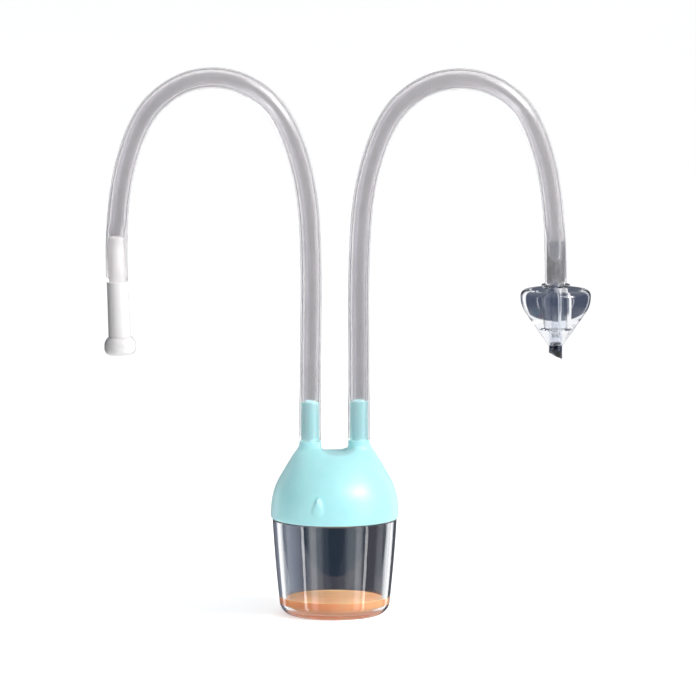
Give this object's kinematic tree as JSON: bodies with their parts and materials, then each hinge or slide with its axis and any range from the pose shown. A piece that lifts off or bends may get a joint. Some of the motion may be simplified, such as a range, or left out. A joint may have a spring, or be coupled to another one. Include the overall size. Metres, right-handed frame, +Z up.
{
  "type": "nasal aspirator",
  "caption": "Mouth-powered baby nasal aspirator: clear collection cup, mint bell lid, clear arched hoses to a white mouthpiece and a soft clear nasal tip.",
  "frame": {"origin": "centre of the cup's base ring, on the surface it stands on", "axes": "+Z up along the cup; the mouthpiece hangs on the -X side and the nasal tip on the +X side; -Y is the front"},
  "size_m": [0.1853, 0.0488, 0.21],
  "materials": {
    "clear_cup": "thick clear gloss moulding",
    "fluid": "clear orange liquid",
    "mint_silicone": "soft satin mint silicone",
    "seal_silicone": "matt translucent white silicone",
    "inner_plastic": "natural white moulding",
    "inner_clear": "clear gloss tube",
    "valve_rubber": "soft teal silicone",
    "filter_foam": "open white foam",
    "hose_silicone": "translucent silicone tubing",
    "white_plastic": "glossy white",
    "clear_plastic": "clear gloss",
    "clear_silicone": "clear soft silicone, glossy"
  },
  "bodies": {
    "cup": {"collection_cup": "clear_cup", "collected_fluid": "fluid"},
    "lid": {"lid_cap": "mint_silicone", "cup_seal": "seal_silicone", "port_plate": "inner_plastic", "drop_tube": "inner_clear", "valve_seat": "seal_silicone", "valve_cage": "inner_plastic"},
    "valve": {"valve_disc": "valve_rubber"},
    "filter": {"filter_cap": "inner_plastic", "filter_pad": "filter_foam"},
    "suction_line": {"suction_hose": "hose_silicone"},
    "nose_line": {"nose_hose": "hose_silicone"},
    "mouthpiece": {"mouthpiece_barrel": "white_plastic", "mouthpiece_lip": "white_plastic"},
    "nasal_tip": {"tip_connector": "clear_plastic", "nasal_cone": "clear_silicone"}
  },
  "joints": [
    {"name": "lid_lift", "type": "slide", "parent": "cup", "child": "lid", "axis": [0, 0, 1], "range_m": [0, 0.03]},
    {"name": "suction_swivel", "type": "hinge", "parent": "lid", "child": "suction_line", "pos_m": [-0.00931, -0.00131, 0.0747], "axis": [0, 0, 1], "range_deg": [-75, 75]},
    {"name": "nose_swivel", "type": "hinge", "parent": "lid", "child": "nose_line", "pos_m": [0.00931, 0.00131, 0.0747], "axis": [0, 0, 1], "range_deg": [-75, 75]},
    {"name": "mouthpiece_pull", "type": "slide", "parent": "suction_line", "child": "mouthpiece", "axis": [0.0401, 0, -0.9992], "range_m": [0, 0.018]},
    {"name": "tip_pull", "type": "slide", "parent": "nose_line", "child": "nasal_tip", "axis": [0, 0, -1], "range_m": [0, 0.018]},
    {"name": "valve_lift", "type": "slide", "parent": "lid", "child": "valve", "axis": [0, 0, 1], "range_m": [0, 0.0015]},
    {"name": "filter_pull", "type": "slide", "parent": "lid", "child": "filter", "axis": [0, 0, -1], "range_m": [0, 0.004]}
  ]
}
